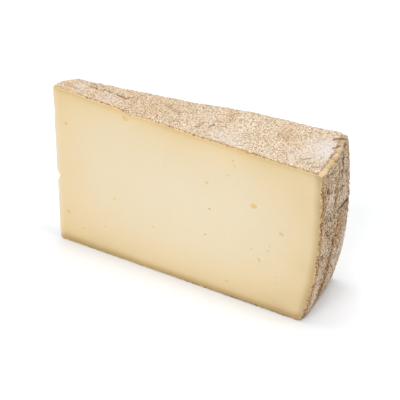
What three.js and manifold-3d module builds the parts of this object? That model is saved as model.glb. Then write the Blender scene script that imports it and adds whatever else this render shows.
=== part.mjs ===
// A wedge of hard sheep milk cheese with its natural rind, standing on the flat underside of the wheel.
// It is one solid. The tip, at the left, was the middle of the wheel, and the heel, at the right, is
// the wheel's outer side. Units are millimetres, +X runs from the tip to the heel, +Z is up, and the
// cut face with the most open eyes looks along -Y. The origin is at the middle of the footprint.
//
// The body is a closed outline of the wedge seen from the side, swept from the near cut face to the
// far one and spread apart towards the heel. Low relief on the rind is added to the outline as it is
// swept, and the eyes, the nick and the chips are small rounded hollows cut out of the result.
import * as THREE from "three";
import { mergeVertices } from "three/addons/utils/BufferGeometryUtils.js";
import Module from "manifold-3d";

// The wedge from the side, along its middle. The tip leans a little.
const LENGTH = 130.9;
const TIP_HEIGHT = 81.2;
const TIP_LEAN = 1.05;
const TIP_FOOT_CORNER = 2.2;
const TIP_TOP_CORNER = 1;
const HEEL_HEIGHT = 78.5;

// The heel: its foot is set in, and it swells a little past LENGTH at BELLY_HEIGHT
const FOOT_SETBACK = 6.5;
const FOOT_CORNER = 1.2;
const BELLY_HEIGHT = 52;
const BELLY = 0.5;
const RIM_CORNER = 1.4;

// The wedge from above: the heel is an arc of the wheel, and the tip's far corner is rounded away
const TIP_WIDTH = 8.3;
const HEEL_WIDTH = 35.8;
const HEEL_ARC = 1.1;
const NOSE_SETBACK = 7.6;
const NOSE_LENGTH = 27;

// The wheel wasn't quite even. Its flat top dips along the near cut, swells near one place on the far
// cut and is lower on that side, and its round side leans and stands out further at the near cut.
const NEAR_DIP = 1.05;
const FAR_SWELL = 1;
const TIP_TILT = -0.1;
const HEEL_TILT = 0.7;
const FOOT_OUTWARD = 0.7;
const RIM_INWARD = 0.5;
const NEAR_OUTWARD = 0.9;

// The far end of the heel's rim is worn round
const WORN_REACH = 5;
const WORN_START = 0.7;
const WORN_DOWN = 1.2;
const WORN_BACK = 0.6;

// The rind's relief
const LUMP_HEIGHT = 0.26;
const LUMP_SIZE = 5;
const PLAIN_FOOT = 3;
const PLAIN_TIP = 2.5;

// How finely the body is divided
const OUTLINE_STEP = 2.1;
const CORNER_STEPS = 3;
const WIDTH_STEPS = 14;

const half = { tip: TIP_WIDTH / 2, heel: HEEL_WIDTH / 2 };

// Half of the wedge's width at a distance x from the tip
function halfWidth(x) {
  return half.tip + ((half.heel - half.tip) * x) / LENGTH;
}

// The outline from the side, anticlockwise from the tip's foot: (x, z) from the tip and the board
function sideOutline() {
  const foot = LENGTH - FOOT_SETBACK;
  const heelTop = HEEL_HEIGHT - RIM_CORNER;
  const outline = new THREE.Path();
  outline.moveTo(TIP_LEAN + TIP_FOOT_CORNER, 0);
  outline.lineTo(foot - FOOT_CORNER, 0);
  outline.quadraticCurveTo(foot, 0, foot + FOOT_CORNER * 0.28, FOOT_CORNER);
  outline.bezierCurveTo(
    foot + FOOT_SETBACK * 0.73, BELLY_HEIGHT * 0.33,
    LENGTH + BELLY, BELLY_HEIGHT * 0.65,
    LENGTH + BELLY, BELLY_HEIGHT,
  );
  outline.bezierCurveTo(
    LENGTH + BELLY, (BELLY_HEIGHT + HEEL_HEIGHT) / 2,
    LENGTH, heelTop - 8,
    LENGTH, heelTop,
  );
  outline.quadraticCurveTo(LENGTH, HEEL_HEIGHT, LENGTH - RIM_CORNER, HEEL_HEIGHT);
  outline.lineTo(TIP_TOP_CORNER, TIP_HEIGHT);
  outline.quadraticCurveTo(0, TIP_HEIGHT, 0, TIP_HEIGHT - TIP_TOP_CORNER);
  outline.lineTo(TIP_LEAN, TIP_FOOT_CORNER);
  outline.quadraticCurveTo(TIP_LEAN, 0, TIP_LEAN + TIP_FOOT_CORNER, 0);
  return outline;
}

// Points along the outline, each with the direction that points out of the cheese there
function outlinePoints(outline) {
  return outline.curves.flatMap((curve) => {
    const steps = Math.max(CORNER_STEPS, Math.round(curve.getLength() / OUTLINE_STEP));
    return Array.from({ length: steps }, (_, i) => {
      const point = curve.getPointAt(i / steps);
      const along = curve.getTangentAt(i / steps);
      return { x: point.x, z: point.y, out: new THREE.Vector2(along.y, -along.x) };
    });
  });
}

// A fixed number between 0 and 1 for each cell of a grid
function cellValue(i, j, k) {
  const value = Math.sin(i * 127.1 + j * 311.7 + k * 74.7) * 43758.5453;
  return value - Math.floor(value);
}

// Smooth lumps between -1 and 1, whose size is one unit
function lumps(x, y, z) {
  const cell = [x, y, z].map(Math.floor);
  const ease = [x, y, z].map((value, axis) => THREE.MathUtils.smoothstep(value - cell[axis], 0, 1));
  let sum = 0;
  for (let corner = 0; corner < 8; corner++) {
    const step = [corner & 1, (corner >> 1) & 1, corner >> 2];
    const weight = step.reduce((w, s, axis) => w * (s ? ease[axis] : 1 - ease[axis]), 1);
    sum += weight * cellValue(cell[0] + step[0], cell[1] + step[1], cell[2] + step[2]);
  }
  return 2 * sum - 1;
}

// Furrows in the rind and the bare ridge along the heel's rim, as lines from one point to another.
// A positive height stands proud of the rind.
const rimStart = new THREE.Vector3(LENGTH - 0.6, -half.heel, HEEL_HEIGHT);
const rimEnd = new THREE.Vector3(LENGTH - 0.6, half.heel, HEEL_HEIGHT);
const markings = [
  { from: rimStart, to: rimEnd, width: 1.6, height: 0.35 },
  { from: new THREE.Vector3(3, 0, 81), to: new THREE.Vector3(9, 1, 81), width: 1.6, height: -0.4 },
  { from: new THREE.Vector3(21, 1.5, 80), to: new THREE.Vector3(33, 2.2, 80), width: 1.2, height: -0.6 },
  { from: new THREE.Vector3(57, -7.5, 79), to: new THREE.Vector3(66, -2, 79), width: 1.6, height: -0.45 },
  { from: new THREE.Vector3(130, 6, 45), to: new THREE.Vector3(130, 15, 49), width: 1.7, height: -0.8 },
  { from: new THREE.Vector3(130, -17, 51), to: new THREE.Vector3(130, -4, 49), width: 1.8, height: -0.5 },
  { from: new THREE.Vector3(130, -1, 38), to: new THREE.Vector3(128, -4, 25), width: 1.8, height: -0.6 },
  { from: new THREE.Vector3(128, -4, 25), to: new THREE.Vector3(125, -14, 14), width: 1.8, height: -0.6 },
];

function markingHeight(point, { from, to, width, height }) {
  const nearest = new THREE.Line3(from, to).closestPointToPoint(point, true, new THREE.Vector3());
  return height * Math.exp(-((point.distanceTo(nearest) / width) ** 2));
}

// How far the rind stands out at a point. The foot stays plain, and so does the cut face of the tip,
// which is where the outline's own x, fromTip, is small.
function rindRelief(point, fromTip) {
  const rind = THREE.MathUtils.smoothstep(point.z, 0, PLAIN_FOOT)
    * THREE.MathUtils.smoothstep(fromTip, TIP_LEAN, TIP_LEAN + PLAIN_TIP);
  const at = point.clone().divideScalar(LUMP_SIZE);
  const lump = lumps(at.x, at.y, at.z) + 0.5 * lumps(2.1 * at.x, 2.1 * at.y, 2.1 * at.z);
  const marks = markings.reduce((sum, marking) => sum + markingHeight(point, marking), 0);
  return rind * (LUMP_HEIGHT * lump + marks);
}

// One rounded rise from 0 to 1 and back, between two distances from the tip
function hump(x, start, end) {
  return Math.sin(Math.PI * THREE.MathUtils.clamp((x - start) / (end - start), 0, 1));
}

// How much higher the top is than the plain outline. across is -1 on the near cut and 1 on the far one.
function topForm(x, across) {
  const [near, far] = [(1 - across) / 2, (1 + across) / 2];
  const dip = NEAR_DIP * near * hump(x, 10, LENGTH - 1) ** 0.7;
  const swell = FAR_SWELL * far * hump(x, 62, 112);
  const tilt = across * THREE.MathUtils.lerp(TIP_TILT, HEEL_TILT, x / LENGTH);
  return swell - dip - tilt;
}

// How far the far end of the heel's rim is worn away, from 0 to 1
function wornShare(x, z, across) {
  return THREE.MathUtils.smoothstep(x, LENGTH - WORN_REACH, LENGTH)
    * THREE.MathUtils.smoothstep(across, WORN_START, 1) * (z / HEEL_HEIGHT) ** 12;
}

// Moves a point of the outline to its place across the wedge. Both cut faces stay flat, because y
// follows from x.
function place(x, z, across) {
  const [near, far] = [(1 - across) / 2, (1 + across) / 2];
  const nose = NOSE_SETBACK * far ** 2.5 * Math.max(0, 1 - x / NOSE_LENGTH) ** 2;
  const lean = across * THREE.MathUtils.lerp(FOOT_OUTWARD, -RIM_INWARD, z / HEEL_HEIGHT);
  const heel = (x / LENGTH) ** 4 * (lean + NEAR_OUTWARD * near ** 2 - HEEL_ARC * across ** 2);
  const worn = wornShare(x, z, across);
  const moved = x + nose + heel - WORN_BACK * worn;
  const height = z + topForm(x, across) * (z / HEEL_HEIGHT) ** 2 - WORN_DOWN * worn;
  return new THREE.Vector3(moved, across * halfWidth(moved), height);
}

function sweptBody() {
  const ring = outlinePoints(sideOutline());
  const positions = [];
  for (let column = 0; column <= WIDTH_STEPS; column++) {
    const across = (2 * column) / WIDTH_STEPS - 1;
    for (const { x, z, out } of ring) {
      const relief = rindRelief(place(x, z, across), x);
      positions.push(...place(x + relief * out.x, z + relief * out.y, across));
    }
  }
  const faces = [];
  for (let column = 0; column < WIDTH_STEPS; column++) {
    for (let i = 0; i < ring.length; i++) {
      const next = (i + 1) % ring.length;
      const [here, ahead] = [column * ring.length + i, column * ring.length + next];
      const [hereFar, aheadFar] = [here + ring.length, ahead + ring.length];
      faces.push(here, hereFar, aheadFar, here, aheadFar, ahead);
    }
  }
  const corners = ring.map(({ x, z }) => new THREE.Vector2(x, z));
  const last = WIDTH_STEPS * ring.length;
  for (const [a, b, c] of THREE.ShapeUtils.triangulateShape(corners, [])) {
    faces.push(a, b, c, last + a, last + c, last + b);
  }
  const body = new THREE.BufferGeometry();
  body.setAttribute("position", new THREE.Float32BufferAttribute(positions, 3));
  body.setIndex(faces);
  return body;
}

// Hollows wider than LARGE_HOLLOW get more sides
const LARGE_HOLLOW = 1.6;
const LARGE_SIDES = 10;
const SMALL_SIDES = 7;

// A rounded hollow of a full size, turned by tilt about the line that looks into the cut face
function hollow(centre, size, tilt) {
  const sides = Math.max(size.x, size.z) > LARGE_HOLLOW ? LARGE_SIDES : SMALL_SIDES;
  const shape = new THREE.SphereGeometry(0.5, sides, sides - 3);
  shape.scale(size.x, size.y, size.z);
  shape.rotateY(-THREE.MathUtils.degToRad(tilt));
  shape.translate(centre.x, centre.y, centre.z);
  return shape;
}

// The eyes that the near cut face shows: distance from the tip, height, size and tilt in degrees
const nearEyes = [
  { along: 99.2, up: 52.8, wide: 3.2, high: 2.6, tilt: 0 },
  { along: 112.7, up: 42.8, wide: 2.4, high: 1.7, tilt: 0 },
  { along: 76.5, up: 57, wide: 1.5, high: 1.3, tilt: 20 },
  { along: 77.9, up: 43.6, wide: 1.5, high: 1, tilt: -20 },
  { along: 75.7, up: 29.4, wide: 1.5, high: 0.9, tilt: 10 },
  { along: 102.4, up: 25.5, wide: 1.7, high: 1, tilt: -35 },
  { along: 86.5, up: 8, wide: 1.9, high: 0.9, tilt: 0 },
  { along: 88.9, up: 72.7, wide: 0.9, high: 1.6, tilt: 0 },
  { along: 89.9, up: 70.3, wide: 1.3, high: 0.7, tilt: -40 },
  { along: 86.9, up: 64.5, wide: 1.3, high: 0.8, tilt: 0 },
  { along: 107.3, up: 34.5, wide: 0.8, high: 0.7, tilt: 0 },
  { along: 106.3, up: 31.5, wide: 1.2, high: 0.7, tilt: 30 },
  { along: 98.3, up: 30, wide: 1.6, high: 0.6, tilt: -30 },
  { along: 110.7, up: 19.2, wide: 0.7, high: 1, tilt: 0 },
  { along: 110.6, up: 16.5, wide: 0.7, high: 0.8, tilt: 0 },
  { along: 5.8, up: 63.5, wide: 1.9, high: 1.4, tilt: 0 },
  { along: 5.8, up: 16, wide: 1.1, high: 2.4, tilt: 20 },
  { along: 13.2, up: 9.7, wide: 1.3, high: 0.9, tilt: 0 },
  { along: 24.5, up: 14.9, wide: 0.9, high: 0.7, tilt: 0 },
  { along: 29.9, up: 31.8, wide: 1.8, high: 0.8, tilt: 15 },
  { along: 49.6, up: 23.8, wide: 1.2, high: 0.8, tilt: 0 },
  { along: 58.5, up: 32, wide: 1.3, high: 0.6, tilt: 0 },
  { along: 55.8, up: 59, wide: 0.8, high: 0.7, tilt: 0 },
  { along: 36.2, up: 77.6, wide: 3, high: 2.2, tilt: -25 },
];

const NEAR_DEPTH_SHARE = 0.8;

// The far cut face's eyes
const FAR_EYE_COUNT = 16;
const FAR_EYE_MARGIN = 10;
const FAR_EYE_SMALLEST = 0.9;
const FAR_EYE_LARGEST = 3.1;
const FAR_EYE_TILT = 40;
const FAR_EYE_SEED = 7;

function nearEyeHollows() {
  return nearEyes.map(({ along, up, wide, high, tilt }) => {
    const deep = NEAR_DEPTH_SHARE * Math.min(wide, 2 * high);
    return hollow({ x: along, y: -halfWidth(along), z: up }, { x: wide, y: deep, z: high }, tilt);
  });
}

// The hidden cut face gets eyes of the same kind by a fixed rule: a few large ones and more small ones
function farEyeHollows() {
  return Array.from({ length: FAR_EYE_COUNT }, (_, i) => {
    const draw = (least, most, which, power = 1) => (
      THREE.MathUtils.lerp(least, most, cellValue(i, which, FAR_EYE_SEED) ** power)
    );
    const along = draw(NOSE_LENGTH, LENGTH - FAR_EYE_MARGIN, 1);
    const up = draw(FAR_EYE_MARGIN, HEEL_HEIGHT - FAR_EYE_MARGIN, 2);
    const wide = draw(FAR_EYE_SMALLEST, FAR_EYE_LARGEST, 3, 3);
    const high = wide * draw(0.5, 0.9, 4);
    const tilt = draw(-FAR_EYE_TILT, FAR_EYE_TILT, 5);
    return hollow({ x: along, y: halfWidth(along), z: up }, { x: wide, y: wide, z: high }, tilt);
  });
}

// A nick in the tip's near edge, and rind that broke away along the near top edge
function damageHollows() {
  const topEdge = TIP_HEIGHT - 0.6;
  return [
    hollow({ x: 0.5, y: -half.tip, z: 34.2 }, { x: 2.6, y: 5, z: 5.4 }, -8),
    hollow({ x: 0, y: -half.tip, z: 68.5 }, { x: 0.7, y: 3, z: 3 }, 0),
    hollow({ x: 38.5, y: -halfWidth(38.5), z: topEdge }, { x: 11, y: 2.2, z: 2.4 }, 6),
  ];
}

const wasm = await Module();
wasm.setup();

function solidOf(geometry) {
  const bare = geometry.clone();
  bare.deleteAttribute("normal");
  bare.deleteAttribute("uv");
  const merged = mergeVertices(bare, 1e-4);
  return new wasm.Manifold(new wasm.Mesh({
    numProp: 3,
    vertProperties: merged.getAttribute("position").array,
    triVerts: new Uint32Array(merged.index.array),
  }));
}

function geometryOf(solid) {
  const { vertProperties, triVerts } = solid.getMesh();
  const geometry = new THREE.BufferGeometry();
  geometry.setAttribute("position", new THREE.BufferAttribute(vertProperties, 3));
  geometry.setIndex(new THREE.BufferAttribute(triVerts, 1));
  geometry.computeVertexNormals();
  return geometry;
}

function cheeseGeometry() {
  let solid = solidOf(sweptBody());
  for (const shape of [...nearEyeHollows(), ...farEyeHollows(), ...damageHollows()]) {
    solid = solid.subtract(solidOf(shape));
  }
  const geometry = geometryOf(solid);
  geometry.computeBoundingBox();
  const middle = geometry.boundingBox.getCenter(new THREE.Vector3());
  geometry.translate(-middle.x, -middle.y, 0);
  return geometry;
}

const paste = new THREE.MeshStandardMaterial({ color: 0xecdcb8, roughness: 0.55, metalness: 0 });
const cheese = new THREE.Mesh(cheeseGeometry(), paste);
cheese.name = "cheese";

const wedge = new THREE.Group();
wedge.add(cheese);

export default wedge;
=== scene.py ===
# %% [markdown]
# # A wedge of sheep milk cheese
# The wedge was cut from a wheel that ripened for months on a shelf. It shows two finishes: the smooth
# ivory paste of the cut faces, and the dry, mottled rind of the top, the round heel and the underside.
# The packed model gives the true size and place. This lesson makes the same form again, finely enough
# to carry the grain of the rind, and dresses it in materials made of nodes.

import bpy
import numpy as np
from mathutils import Matrix, Vector
from mathutils.geometry import delaunay_2d_cdt


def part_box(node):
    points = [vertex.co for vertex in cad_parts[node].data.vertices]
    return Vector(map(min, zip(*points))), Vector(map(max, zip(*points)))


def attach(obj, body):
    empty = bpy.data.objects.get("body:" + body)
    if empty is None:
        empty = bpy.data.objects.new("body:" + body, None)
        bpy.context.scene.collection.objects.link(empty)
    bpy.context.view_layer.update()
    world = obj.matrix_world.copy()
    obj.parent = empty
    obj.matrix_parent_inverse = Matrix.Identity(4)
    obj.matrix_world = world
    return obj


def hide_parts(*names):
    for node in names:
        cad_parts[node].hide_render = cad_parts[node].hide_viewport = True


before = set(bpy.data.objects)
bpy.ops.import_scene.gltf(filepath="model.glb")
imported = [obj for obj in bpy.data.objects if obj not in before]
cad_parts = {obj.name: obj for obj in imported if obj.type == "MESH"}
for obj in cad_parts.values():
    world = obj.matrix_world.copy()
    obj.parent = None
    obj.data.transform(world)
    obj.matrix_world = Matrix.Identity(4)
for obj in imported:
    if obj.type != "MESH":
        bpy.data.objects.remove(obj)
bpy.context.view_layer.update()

MM = 0.001
low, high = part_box("cheese")
TIP_X = low.x / MM
print("the packed wedge, in mm:", [round(side / MM, 1) for side in high - low])

# %% [markdown]
# ## The driving sizes
# A modeller keeps the few sizes that everything else follows in one place. These are the real wedge's,
# in millimetres: x runs from the tip to the heel, y across the wedge and z up from the board. `place`
# is the heart of the form. It takes a point of the side outline and moves it across the wedge, which
# spreads the wheel's slice apart, bends the heel into an arc, rounds the far corner of the tip and wears
# the far end of the heel's rim down.

# %% Sizes, in millimetres
LENGTH = 130.9
TIP_HEIGHT = 81.2
TIP_LEAN = 1.05
TIP_FOOT_CORNER = 2.2
TIP_TOP_CORNER = 1.0
HEEL_HEIGHT = 78.5
FOOT_SETBACK = 6.9
FOOT_CORNER = 1.2
BELLY_HEIGHT = 52.0
BELLY = 0.5
RIM_CORNER = 1.4
TIP_WIDTH = 8.3
HEEL_WIDTH = 35.8
HEEL_ARC = 1.1
NOSE_SETBACK = 7.6
NOSE_LENGTH = 27.0
NEAR_DIP = 1.05
FAR_SWELL = 1.0
DIP_START, DIP_END_GAP = 10, 1
SWELL_START, SWELL_END = 62, 112
TIP_TILT = -0.1
HEEL_TILT = 0.7
FOOT_OUTWARD = 0.7
RIM_INWARD = 0.5
NEAR_OUTWARD = 0.9
WORN_REACH = 5.0
WORN_START = 0.7
WORN_DOWN = 1.2
WORN_BACK = 0.6
SLOPE = (HEEL_WIDTH - TIP_WIDTH) / 2 / LENGTH


def half_width(x):
    return TIP_WIDTH / 2 + SLOPE * x


def hump(x, start, end):
    return np.sin(np.pi * np.clip((x - start) / (end - start), 0, 1))


def smooth(value, start, end):
    t = np.clip((value - start) / (end - start), 0, 1)
    return t * t * (3 - 2 * t)


def place(x, z, across):
    """Points of the side outline, moved across the wedge: -1 is the near cut and 1 the far one."""
    near, far = (1 - across) / 2, (1 + across) / 2
    nose = NOSE_SETBACK * far**2.5 * np.clip(1 - x / NOSE_LENGTH, 0, None) ** 2
    lean = across * (FOOT_OUTWARD - (FOOT_OUTWARD + RIM_INWARD) * z / HEEL_HEIGHT)
    moved = x + nose + (x / LENGTH) ** 4 * (lean + NEAR_OUTWARD * near**2 - HEEL_ARC * across**2)
    dip = NEAR_DIP * near * hump(x, DIP_START, LENGTH - DIP_END_GAP) ** 0.7
    swell = FAR_SWELL * far * hump(x, SWELL_START, SWELL_END)
    tilt = across * (TIP_TILT + (HEEL_TILT - TIP_TILT) * x / LENGTH)
    worn = smooth(x, LENGTH - WORN_REACH, LENGTH) * smooth(across, WORN_START, 1)
    worn = worn * (z / HEEL_HEIGHT) ** 12
    moved = moved - WORN_BACK * worn
    height = z + (swell - dip - tilt) * (z / HEEL_HEIGHT) ** 2 - WORN_DOWN * worn
    return np.stack([moved, across * half_width(moved), height], axis=-1)


def to_frame(points):
    """Points in millimetres from the tip, as metres in the frame."""
    return (np.asarray(points, float) + (TIP_X, 0, 0)) * MM


print("width at the tip and the heel, in mm:", TIP_WIDTH, HEEL_WIDTH)

# %% [markdown]
# ## The side outline
# Seen from the side the wedge is a closed loop: the base, the undercut heel, the top and the tip. Each
# stretch is a line or a Bezier curve, because a curve needs only the corners that shape it. Every point
# also keeps the direction that points out of the cheese, since the rind's relief follows it later.
# The rind gets a fine step and the plain stretches a coarse one, so that no triangle is wasted.

# %% The side outline
FINE = 0.34
BASE_STEP = 0.5
TIP_STEP = 0.7
TIP, BASE, HEEL, TOP = range(4)


def bezier(corners, step):
    """Points and outward directions along a Bezier curve, without its last point."""
    length = np.linalg.norm(np.diff(corners, axis=0), axis=1).sum()
    steps = max(3, round(length / step))
    t = np.arange(steps)[:, None] / steps
    points = [np.broadcast_to(np.array(corner, float), (steps, 2)) for corner in corners]
    while len(points) > 2:
        points = [a + (b - a) * t for a, b in zip(points, points[1:])]
    along = points[1] - points[0]
    along = along / np.linalg.norm(along, axis=1)[:, None]
    return points[0] + (points[1] - points[0]) * t, np.stack([along[:, 1], -along[:, 0]], axis=1)


def side_outline(scale=1.0):
    """The closed outline: points (x, z), outward directions, and the part each point belongs to."""
    foot, rim = LENGTH - FOOT_SETBACK, HEEL_HEIGHT - RIM_CORNER
    stretches = [
        (BASE, BASE_STEP, [(TIP_LEAN + TIP_FOOT_CORNER, 0), (foot - FOOT_CORNER, 0)]),
        (HEEL, FINE, [(foot - FOOT_CORNER, 0), (foot, 0), (foot + FOOT_CORNER * 0.28, FOOT_CORNER)]),
        (HEEL, FINE, [
            (foot + FOOT_CORNER * 0.28, FOOT_CORNER),
            (foot + FOOT_SETBACK * 0.73, BELLY_HEIGHT * 0.33),
            (LENGTH + BELLY, BELLY_HEIGHT * 0.65),
            (LENGTH + BELLY, BELLY_HEIGHT),
        ]),
        (HEEL, FINE, [
            (LENGTH + BELLY, BELLY_HEIGHT),
            (LENGTH + BELLY, (BELLY_HEIGHT + HEEL_HEIGHT) / 2),
            (LENGTH, rim - 8),
            (LENGTH, rim),
        ]),
        (TOP, FINE, [(LENGTH, rim), (LENGTH, HEEL_HEIGHT), (LENGTH - RIM_CORNER, HEEL_HEIGHT)]),
        (TOP, FINE, [(LENGTH - RIM_CORNER, HEEL_HEIGHT), (TIP_TOP_CORNER, TIP_HEIGHT)]),
        (TIP, FINE, [(TIP_TOP_CORNER, TIP_HEIGHT), (0, TIP_HEIGHT), (0, TIP_HEIGHT - TIP_TOP_CORNER)]),
        (TIP, TIP_STEP, [(0, TIP_HEIGHT - TIP_TOP_CORNER), (TIP_LEAN, TIP_FOOT_CORNER)]),
        (TIP, TIP_STEP, [
            (TIP_LEAN, TIP_FOOT_CORNER), (TIP_LEAN, 0), (TIP_LEAN + TIP_FOOT_CORNER, 0),
        ]),
    ]
    points, outward, part = [], [], []
    for kind, step, corners in stretches:
        p, n = bezier(corners, step * scale)
        points.append(p)
        outward.append(n)
        part.append(np.full(len(p), kind))
    return np.concatenate(points), np.concatenate(outward), np.concatenate(part)


outline, outline_out, outline_part = side_outline()
print(len(outline), "points along the outline")

# %% [markdown]
# ## The shell
# The shell is everything but the two cut faces. One row of points crosses the wedge at each point of
# the outline. The wedge narrows to the tip, so a plain grid would crowd its points there. Each row gets
# as many points as its own width needs, and two rows are sewn together like a zip, one triangle at a
# time, by always stepping along the row that is behind.

# %% Rows across the wedge
ACROSS_STEP = {TIP: 0.9, BASE: 1.5, HEEL: FINE, TOP: FINE}


def shell_rows():
    """Row by row: the outline's index for each point, how far across it is, and each row's start."""
    which, across, starts = [], [], [0]
    for i, ((x, z), part) in enumerate(zip(outline, outline_part)):
        width = 2 * half_width(x)
        count = max(5, round(width / ACROSS_STEP[part]) + 1)
        which.append(np.full(count, i))
        across.append(np.linspace(-1, 1, count))
        starts.append(starts[-1] + count)
    return np.concatenate(which), np.concatenate(across), starts


def zip_rows(a, b):
    """Triangles between two rows of point numbers."""
    faces = []
    i = j = 0
    last_a, last_b = len(a) - 1, len(b) - 1
    while i < last_a or j < last_b:
        if j == last_b or (i < last_a and (i + 1) * last_b <= (j + 1) * last_a):
            faces.append((a[i], a[i + 1], b[j]))
            i += 1
        else:
            faces.append((a[i], b[j + 1], b[j]))
            j += 1
    return faces


shell_which, shell_across, starts = shell_rows()
shell_faces, shell_face_part = [], []
for row in range(len(outline)):
    ahead = (row + 1) % len(outline)
    sewn = zip_rows(range(starts[row], starts[row + 1]), range(starts[ahead], starts[ahead + 1]))
    shell_faces += sewn
    shell_face_part += [outline_part[row]] * len(sewn)
near_rim = np.array(starts[:-1])
far_rim = np.array(starts[1:]) - 1
print(len(shell_which), "points and", len(shell_faces), "triangles in the shell")

# %% [markdown]
# ## The eyes
# Eyes are the small holes that gas leaves in the paste. A cut opens some of them, each as a shallow
# hollow with a soft lip. A boolean cut would leave a hard edge and long slivers, so the eyes are
# pressed into the cut face instead: rings of points lie around each one, and a rounded profile moves
# them inwards. The near face has the eyes of the real wedge. The far one gets its own by a fixed rule.

# %% Where the eyes are
# Each is x, z, width, height, tilt in degrees and depth, all lengths in millimetres
NEAR_EYES = [
    (99.2, 52.8, 3.2, 2.6, 0, 1.3),
    (112.7, 42.8, 2.4, 1.7, 0, 0.9),
    (76.5, 57.0, 1.5, 1.3, 20, 0.7),
    (77.9, 43.6, 1.5, 1.0, -20, 0.6),
    (75.7, 29.4, 1.5, 0.9, 10, 0.5),
    (102.4, 25.5, 1.9, 1.0, -35, 0.7),
    (86.5, 8.0, 1.9, 0.9, 0, 0.6),
    (88.9, 72.7, 0.9, 1.6, 0, 0.6),
    (89.9, 70.3, 1.3, 0.7, -40, 0.4),
    (86.9, 64.5, 1.3, 0.8, 0, 0.4),
    (107.3, 34.5, 0.8, 0.7, 0, 0.5),
    (106.3, 31.5, 1.2, 0.7, 30, 0.4),
    (98.3, 30.0, 1.6, 0.6, -30, 0.4),
    (110.7, 19.2, 0.7, 1.0, 0, 0.4),
    (110.6, 16.5, 0.7, 0.8, 0, 0.4),
    (5.8, 63.5, 1.9, 1.4, 0, 0.7),
    (5.8, 16.0, 1.1, 2.4, 20, 0.9),
    (13.2, 9.7, 1.3, 0.9, 0, 0.4),
    (24.5, 14.9, 0.9, 0.7, 0, 0.3),
    (29.9, 31.8, 1.8, 0.8, 15, 0.35),
    (49.6, 23.8, 1.2, 0.8, 0, 0.3),
    (58.5, 32.0, 1.3, 0.6, 0, 0.3),
    (55.8, 59.0, 0.8, 0.7, 0, 0.3),
    (36.2, 77.3, 2.8, 2.2, -25, 1.1),
]
FAR_EYE_COUNT = 16
FAR_EYE_MARGIN = 10
FAR_EYE_SEED = 7
FAR_EYE_SMALLEST, FAR_EYE_LARGEST = 0.9, 3.1
FAR_EYE_TILT = 40
RING_SHARES = (0.3, 0.55, 0.75, 0.88, 0.97, 1.06, 1.2, 1.45)
RING_STEP = 0.22


def cell_value(i, j, k):
    value = np.sin(i * 127.1 + j * 311.7 + k * 74.7) * 43758.5453
    return value - np.floor(value)


def far_eyes():
    """Eyes of the hidden cut face: a few large ones and more small ones."""
    eyes = []
    for i in range(FAR_EYE_COUNT):
        def draw(least, most, which, power=1):
            return least + (most - least) * cell_value(i, which, FAR_EYE_SEED) ** power
        x = draw(NOSE_LENGTH, LENGTH - FAR_EYE_MARGIN, 1)
        z = draw(FAR_EYE_MARGIN, HEEL_HEIGHT - FAR_EYE_MARGIN, 2)
        wide = draw(FAR_EYE_SMALLEST, FAR_EYE_LARGEST, 3, 3)
        high = wide * draw(0.5, 0.9, 4)
        eyes.append((x, z, wide, high, draw(-FAR_EYE_TILT, FAR_EYE_TILT, 5), wide * 0.4))
    return eyes


def eye_distance(points, eye):
    """How far points are from an eye's middle, where 1 is its rim."""
    x, z, wide, high, tilt, _ = eye
    turn = np.radians(tilt)
    dx, dz = points[:, 0] - x, points[:, 1] - z
    along = (dx * np.cos(turn) + dz * np.sin(turn)) / (wide / 2)
    up = (dz * np.cos(turn) - dx * np.sin(turn)) / (high / 2)
    return np.hypot(along, up)


def eye_rings(eye):
    """Rings of points around an eye, close together where its wall is steep."""
    x, z, wide, high, tilt, _ = eye
    turn = np.radians(tilt)
    rings = [np.array([[x, z]])]
    for share in RING_SHARES:
        count = max(9, round(np.pi * share * (wide + high) / 2 / RING_STEP))
        angle = 2 * np.pi * (np.arange(count) + 0.5 * (len(rings) % 2)) / count
        along, up = share * wide / 2 * np.cos(angle), share * high / 2 * np.sin(angle)
        ring_x = x + along * np.cos(turn) - up * np.sin(turn)
        ring_z = z + along * np.sin(turn) + up * np.cos(turn)
        rings.append(np.stack([ring_x, ring_z], axis=1))
    return np.concatenate(rings)


print(len(NEAR_EYES), "eyes on the near face and", FAR_EYE_COUNT, "on the far one")

# %% [markdown]
# ## The cut faces
# A cut face has to be fine along the rind, where its colour changes within a millimetre, and around
# the eyes, but may be coarse in between. So points are laid in rows that follow the outline, further
# apart with depth, then in a loose grid, with the rings of the eyes added. A Delaunay triangulation
# joins any such cloud of points with the roundest triangles there are, and keeps the rim as it is.

# %% Points and triangles of a cut face
DEPTH_ROWS = [(0.28, 0.33), (0.6, 0.4), (1.0, 0.5), (1.5, 0.65), (2.2, 0.85), (3.2, 1.1), (4.4, 1.4)]
GRID = 1.8
# Rows of a grid of even triangles are this share as far apart as its columns
GRID_ROW_SHARE = 0.87
GRID_GAP = 0.8
GRID_TIP_GAP = 2
SAMPLE = 0.1
POINTS_AT_A_TIME = 1500
# How far points keep from an eye and rings from another eye, as shares of its size, and from the rim
EYE_CLEARANCE, RING_CLEARANCE, RIM_CLEARANCE = 1.6, 1.5, 0.2
fine_outline, fine_out, fine_part = side_outline(SAMPLE / FINE)
rind_samples = fine_outline[fine_part != TIP]
part_samples = [fine_outline[fine_part == part] for part in (TIP, BASE, HEEL, TOP)]


def nearest(points, samples):
    """The distance from each point to the nearest sample, and that sample's number."""
    distance, number = [], []
    for chunk in np.array_split(points, max(1, len(points) // POINTS_AT_A_TIME)):
        gap = np.hypot(chunk[:, None, 0] - samples[None, :, 0], chunk[:, None, 1] - samples[None, :, 1])
        number.append(gap.argmin(1))
        distance.append(gap.min(1))
    return np.concatenate(distance), np.concatenate(number)


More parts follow.
